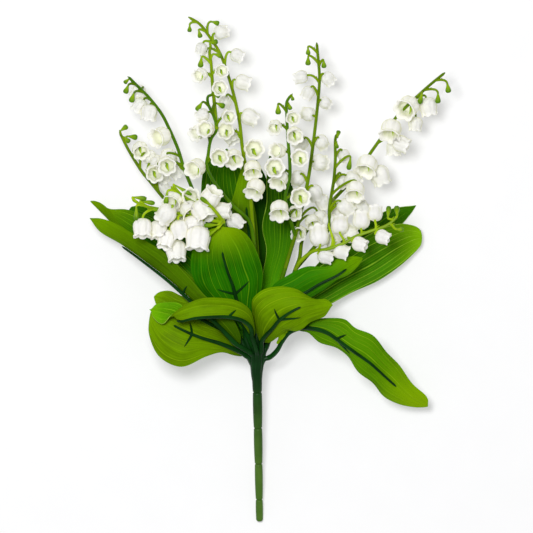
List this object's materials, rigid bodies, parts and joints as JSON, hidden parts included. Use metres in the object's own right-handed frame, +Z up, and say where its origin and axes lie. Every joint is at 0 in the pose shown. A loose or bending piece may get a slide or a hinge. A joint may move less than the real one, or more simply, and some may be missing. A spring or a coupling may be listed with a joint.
{
  "type": "artificial lily of the valley bush",
  "caption": "Artificial lily of the valley bush on a moulded pick, with strap leaves on barbed ribs and arching sprays of hanging white bells and green buds, lying on a table.",
  "frame": {"origin": "on the table under the middle of the whole bush's box", "axes": "+Y from the pick's foot to the blooms, +Z up from the table the bush lies on, +X to the right of the blooms as seen from above"},
  "size_m": [0.254, 0.3553, 0.0791],
  "materials": {
    "pick_plastic": "moulded, satin, dark green turning olive towards the foot",
    "rib_plastic": "moulded, satin, very dark green",
    "leaf_cloth": "pressed and coated cloth with printed pale veins, darker and greener on some leaves",
    "blossom_plastic": "soft translucent white",
    "spray_green": "moulded, satin, fresh green stems, buds and bell tongues"
  },
  "bodies": {
    "root": {"pick": "pick_plastic", "leaf_front_left": "leaf_cloth", "leaf_lower_left": "leaf_cloth", "leaf_long_left": "leaf_cloth", "leaf_back_left": "leaf_cloth", "leaf_under_left": "leaf_cloth", "leaf_behind_left": "leaf_cloth", "leaf_front_centre": "leaf_cloth", "leaf_front_right": "leaf_cloth", "leaf_tall_left": "leaf_cloth", "leaf_tall_narrow": "leaf_cloth", "leaf_tall_right": "leaf_cloth", "leaf_tall_back": "leaf_cloth", "leaf_broad_right": "leaf_cloth", "leaf_back_right": "leaf_cloth", "leaf_mid_right": "leaf_cloth", "leaf_lower_right": "leaf_cloth", "stalk_front_left": "rib_plastic", "stalk_lower_left": "rib_plastic", "stalk_long_left": "rib_plastic", "stalk_back_left": "rib_plastic", "stalk_under_left": "rib_plastic", "stalk_behind_left": "rib_plastic", "stalk_front_centre": "rib_plastic", "stalk_front_right": "rib_plastic", "stalk_tall_left": "rib_plastic", "stalk_tall_narrow": "rib_plastic", "stalk_tall_right": "rib_plastic", "stalk_tall_back": "rib_plastic", "stalk_broad_right": "rib_plastic", "stalk_back_right": "rib_plastic", "stalk_mid_right": "rib_plastic", "stalk_lower_right": "rib_plastic", "flowers_top_left": "blossom_plastic", "flowers_centre": "blossom_plastic", "flowers_right": "blossom_plastic", "flowers_left": "blossom_plastic", "flowers_front": "blossom_plastic"}
  },
  "joints": []
}
